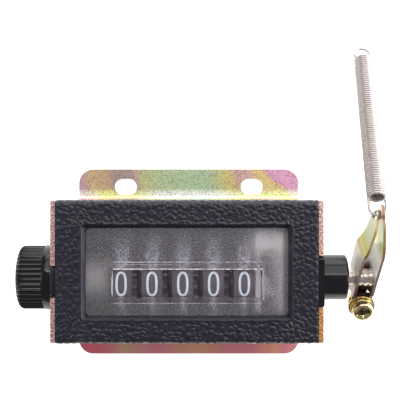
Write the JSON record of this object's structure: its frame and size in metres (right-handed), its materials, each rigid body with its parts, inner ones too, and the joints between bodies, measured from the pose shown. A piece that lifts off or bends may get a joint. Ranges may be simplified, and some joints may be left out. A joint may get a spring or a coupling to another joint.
{
  "type": "mechanical stroke counter",
  "caption": "Panel-mounted mechanical stroke counter: sheet-metal frame with slotted tabs, moulded cover with a lens window, reset knob, and a sprung folded lever with a pull spring.",
  "frame": {"origin": "centre of the back mounting plane, between the four slots", "axes": "+X to the lever's side, +Y up the front, +Z out of the front face towards the reader; the counter lies on its back"},
  "size_m": [0.0954, 0.0878, 0.037],
  "materials": {
    "zinc_sheet": "iridescent yellow-zinc plated sheet",
    "cover_plastic": "leather-grained moulded black plastic",
    "clear_lens": "clear acrylic, frosted round the raised lens",
    "black_plastic": "semi-gloss moulded black plastic",
    "wheel_plastic": "dark moulded plastic with pale numerals",
    "ivory_plastic": "natural acetal",
    "steel": "turned bright steel",
    "spring_steel": "nickel-plated spring wire",
    "lever_zinc": "clear zinc plate with a faint iridescence",
    "screw_zinc": "yellow zinc plate",
    "bracket_metal": "light grey zinc casting",
    "brass": "phosphor bronze leaf"
  },
  "bodies": {
    "frame": {"mounting_frame": "zinc_sheet", "front_cover": "cover_plastic", "window_lens": "clear_lens", "cover_screws": "screw_zinc", "left_bearing_block": "black_plastic", "right_bearing_block": "black_plastic", "ratchet_bracket": "bracket_metal", "bracket_rivets": "steel", "pinion_shaft": "steel", "backstop_pin": "steel"},
    "reset_spindle": {"reset_shaft": "steel", "reset_knob": "black_plastic", "shaft_clip": "steel", "wheel_spacer": "ivory_plastic"},
    "units_wheel": {"units_wheel": "wheel_plastic", "units_reset_pawl": "brass"},
    "tens_wheel": {"tens_wheel": "wheel_plastic", "tens_reset_pawl": "brass"},
    "hundreds_wheel": {"hundreds_wheel": "wheel_plastic", "hundreds_reset_pawl": "brass"},
    "thousands_wheel": {"thousands_wheel": "wheel_plastic", "thousands_reset_pawl": "brass"},
    "ten_thousands_wheel": {"ten_thousands_wheel": "wheel_plastic", "ten_thousands_reset_pawl": "brass"},
    "tens_pinion": {"tens_pinion": "ivory_plastic"},
    "hundreds_pinion": {"hundreds_pinion": "ivory_plastic"},
    "thousands_pinion": {"thousands_pinion": "ivory_plastic"},
    "ten_thousands_pinion": {"ten_thousands_pinion": "ivory_plastic"},
    "lever": {"lever_arm": "lever_zinc", "drive_shaft": "steel", "drive_crank": "steel", "pawl_pin": "steel", "lever_return_spring": "spring_steel", "clamp_screw": "screw_zinc", "spring_washer": "screw_zinc", "flat_washer": "screw_zinc", "clamp_nut": "screw_zinc"},
    "drive_pawl": {"drive_pawl": "steel", "drive_pawl_spring": "spring_steel"},
    "backstop_pawl": {"backstop_pawl": "steel", "backstop_spring": "spring_steel"},
    "actuating_spring": {"actuating_spring": "spring_steel"}
  },
  "joints": [
    {"name": "reset_turn", "type": "hinge", "parent": "frame", "child": "reset_spindle", "pos_m": [0, -0.00245, 0.023], "axis": [1, 0, 0], "continuous": true},
    {"name": "units_turn", "type": "hinge", "parent": "frame", "child": "units_wheel", "pos_m": [0, -0.00245, 0.023], "axis": [1, 0, 0], "continuous": true},
    {"name": "tens_turn", "type": "hinge", "parent": "frame", "child": "tens_wheel", "pos_m": [0, -0.00245, 0.023], "axis": [1, 0, 0], "continuous": true},
    {"name": "hundreds_turn", "type": "hinge", "parent": "frame", "child": "hundreds_wheel", "pos_m": [0, -0.00245, 0.023], "axis": [1, 0, 0], "continuous": true},
    {"name": "thousands_turn", "type": "hinge", "parent": "frame", "child": "thousands_wheel", "pos_m": [0, -0.00245, 0.023], "axis": [1, 0, 0], "continuous": true},
    {"name": "ten_thousands_turn", "type": "hinge", "parent": "frame", "child": "ten_thousands_wheel", "pos_m": [0, -0.00245, 0.023], "axis": [1, 0, 0], "continuous": true},
    {"name": "tens_pinion_turn", "type": "hinge", "parent": "frame", "child": "tens_pinion", "pos_m": [0, 0.00758, 0.01597], "axis": [1, 0, 0], "continuous": true},
    {"name": "hundreds_pinion_turn", "type": "hinge", "parent": "frame", "child": "hundreds_pinion", "pos_m": [0, 0.00758, 0.01597], "axis": [1, 0, 0], "continuous": true},
    {"name": "thousands_pinion_turn", "type": "hinge", "parent": "frame", "child": "thousands_pinion", "pos_m": [0, 0.00758, 0.01597], "axis": [1, 0, 0], "continuous": true},
    {"name": "ten_thousands_pinion_turn", "type": "hinge", "parent": "frame", "child": "ten_thousands_pinion", "pos_m": [0, 0.00758, 0.01597], "axis": [1, 0, 0], "continuous": true},
    {"name": "lever_swing", "type": "hinge", "parent": "frame", "child": "lever", "pos_m": [0, -0.00245, 0.023], "axis": [-1, 0, 0], "range_deg": [0, 45], "stiffness_Nm_per_rad": 0.03, "springref_deg": -34.38},
    {"name": "drive_pawl_lift", "type": "hinge", "parent": "lever", "child": "drive_pawl", "pos_m": [0, -0.00625, 0.02958], "axis": [1, 0, 0], "range_deg": [0, 12], "stiffness_Nm_per_rad": 0.0005, "springref_deg": -17.19},
    {"name": "backstop_lift", "type": "hinge", "parent": "frame", "child": "backstop_pawl", "pos_m": [0, -0.00735, 0.01451], "axis": [1, 0, 0], "range_deg": [0, 12], "stiffness_Nm_per_rad": 0.0005, "springref_deg": -17.19},
    {"name": "spring_swing", "type": "hinge", "parent": "lever", "child": "actuating_spring", "pos_m": [0.0474, 0.01374, 0.03351], "axis": [1, 0, 0], "range_deg": [-10, 95]}
  ],
  "couplings": [
    {"joint": "tens_pinion_turn", "follows": "tens_turn", "ratio": -2.5},
    {"joint": "hundreds_pinion_turn", "follows": "hundreds_turn", "ratio": -2.5},
    {"joint": "thousands_pinion_turn", "follows": "thousands_turn", "ratio": -2.5},
    {"joint": "ten_thousands_pinion_turn", "follows": "ten_thousands_turn", "ratio": -2.5}
  ]
}
